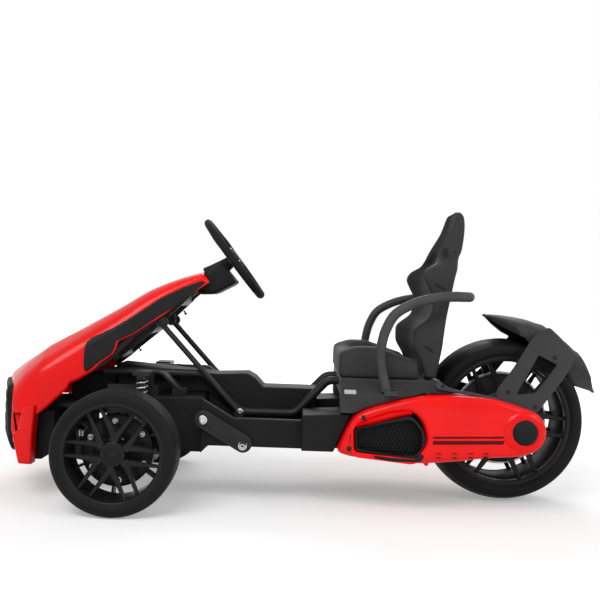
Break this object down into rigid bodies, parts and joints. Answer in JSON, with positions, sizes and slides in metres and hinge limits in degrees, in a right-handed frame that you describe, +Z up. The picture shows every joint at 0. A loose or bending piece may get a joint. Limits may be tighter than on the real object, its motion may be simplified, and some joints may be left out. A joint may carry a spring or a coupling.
{
  "type": "racing kart",
  "caption": "Child's electric racing kart with steered front wheels, a wide rear wheel under a fender, bucket seat with hoop, long nose hood and side covers.",
  "frame": {"origin": "middle of the length and width, on the ground", "axes": "-X forwards, +X to the rear, -Y to the driver's left, +Z up"},
  "size_m": [1.303, 0.596, 0.6233],
  "materials": {
    "red_plastic": "bright red, glossy moulded plastic",
    "black_plastic": "near-black moulded plastic with a fine texture",
    "panel_plastic": "black smooth satin plastic",
    "seat_plastic": "dark grey textured plastic",
    "fender_plastic": "dark grey satin plastic",
    "grip_plastic": "black soft moulded plastic",
    "rim_plastic": "black semi-gloss moulded plastic",
    "tyre_rubber": "black tread surface, slightly dull",
    "battery_case": "black battery case",
    "black_steel": "black powder-coated steel",
    "hoop_steel": "dark grey coated tube",
    "spring_steel": "black coated spring steel",
    "bolt_steel": "zinc-plated steel"
  },
  "bodies": {
    "root": {"accelerator_pedal": "black_plastic", "battery": "battery_case", "brake_pedal": "black_plastic", "bumper_corners": "red_plastic", "chassis_tub": "black_plastic", "column_tube": "black_steel", "cover_caps": "panel_plastic", "fender_bracket_left": "fender_plastic", "fender_bracket_right": "fender_plastic", "frame_links": "black_steel", "front_bumper": "red_plastic", "front_subframe": "black_steel", "hood": "red_plastic", "hood_frame": "black_plastic", "hood_side_panels": "panel_plastic", "hood_struts": "black_steel", "intake_grilles": "panel_plastic", "nose_carrier": "black_plastic", "nose_grille": "black_plastic", "rear_arm_left": "black_steel", "rear_arm_right": "black_steel", "rear_axle": "bolt_steel", "rear_cover_left": "red_plastic", "rear_cover_right": "red_plastic", "rear_fender": "fender_plastic", "seat_back": "seat_plastic", "seat_base": "black_plastic", "seat_cushion": "seat_plastic", "seat_hoop": "hoop_steel", "shocks": "spring_steel", "side_tubes": "black_steel", "steering_boss": "black_plastic", "steering_box": "black_plastic", "tunnel": "black_plastic"},
    "steering": {"steering_wheel": "grip_plastic", "steering_shaft": "black_steel"},
    "track_rod": {"track_rod": "bolt_steel"},
    "knuckle_left": {"knuckle_left": "black_steel"},
    "knuckle_right": {"knuckle_right": "black_steel"},
    "wheel_front_left": {"rim_front_left": "rim_plastic", "tyre_front_left": "tyre_rubber"},
    "wheel_front_right": {"rim_front_right": "rim_plastic", "tyre_front_right": "tyre_rubber"},
    "wheel_rear": {"rim_rear": "rim_plastic", "tyre_rear": "tyre_rubber"}
  },
  "joints": [
    {"name": "steering_turn", "type": "hinge", "parent": "root", "child": "steering", "pos_m": [-0.157, 0, 0.5065], "axis": [0.788, 0, 0.6157], "range_deg": [-55, 55]},
    {"name": "knuckle_left_turn", "type": "hinge", "parent": "root", "child": "knuckle_left", "pos_m": [-0.349, -0.195, 0.12], "axis": [0, 0, 1], "range_deg": [-22, 22]},
    {"name": "knuckle_right_turn", "type": "hinge", "parent": "root", "child": "knuckle_right", "pos_m": [-0.349, 0.195, 0.12], "axis": [0, 0, 1], "range_deg": [-22, 22]},
    {"name": "track_rod_turn", "type": "hinge", "parent": "knuckle_left", "child": "track_rod", "pos_m": [-0.429, -0.195, 0.1428], "axis": [0, 0, 1], "range_deg": [-22, 22]},
    {"name": "wheel_front_left_spin", "type": "hinge", "parent": "knuckle_left", "child": "wheel_front_left", "pos_m": [-0.349, -0.256, 0.12], "axis": [0, -1, 0], "continuous": true},
    {"name": "wheel_front_right_spin", "type": "hinge", "parent": "knuckle_right", "child": "wheel_front_right", "pos_m": [-0.349, 0.256, 0.12], "axis": [0, -1, 0], "continuous": true},
    {"name": "wheel_rear_spin", "type": "hinge", "parent": "root", "child": "wheel_rear", "pos_m": [0.4425, 0, 0.1755], "axis": [0, -1, 0], "continuous": true}
  ],
  "couplings": [
    {"joint": "knuckle_left_turn", "follows": "steering_turn", "ratio": 0.4},
    {"joint": "knuckle_right_turn", "follows": "steering_turn", "ratio": 0.4},
    {"joint": "track_rod_turn", "follows": "steering_turn", "ratio": -0.4}
  ]
}
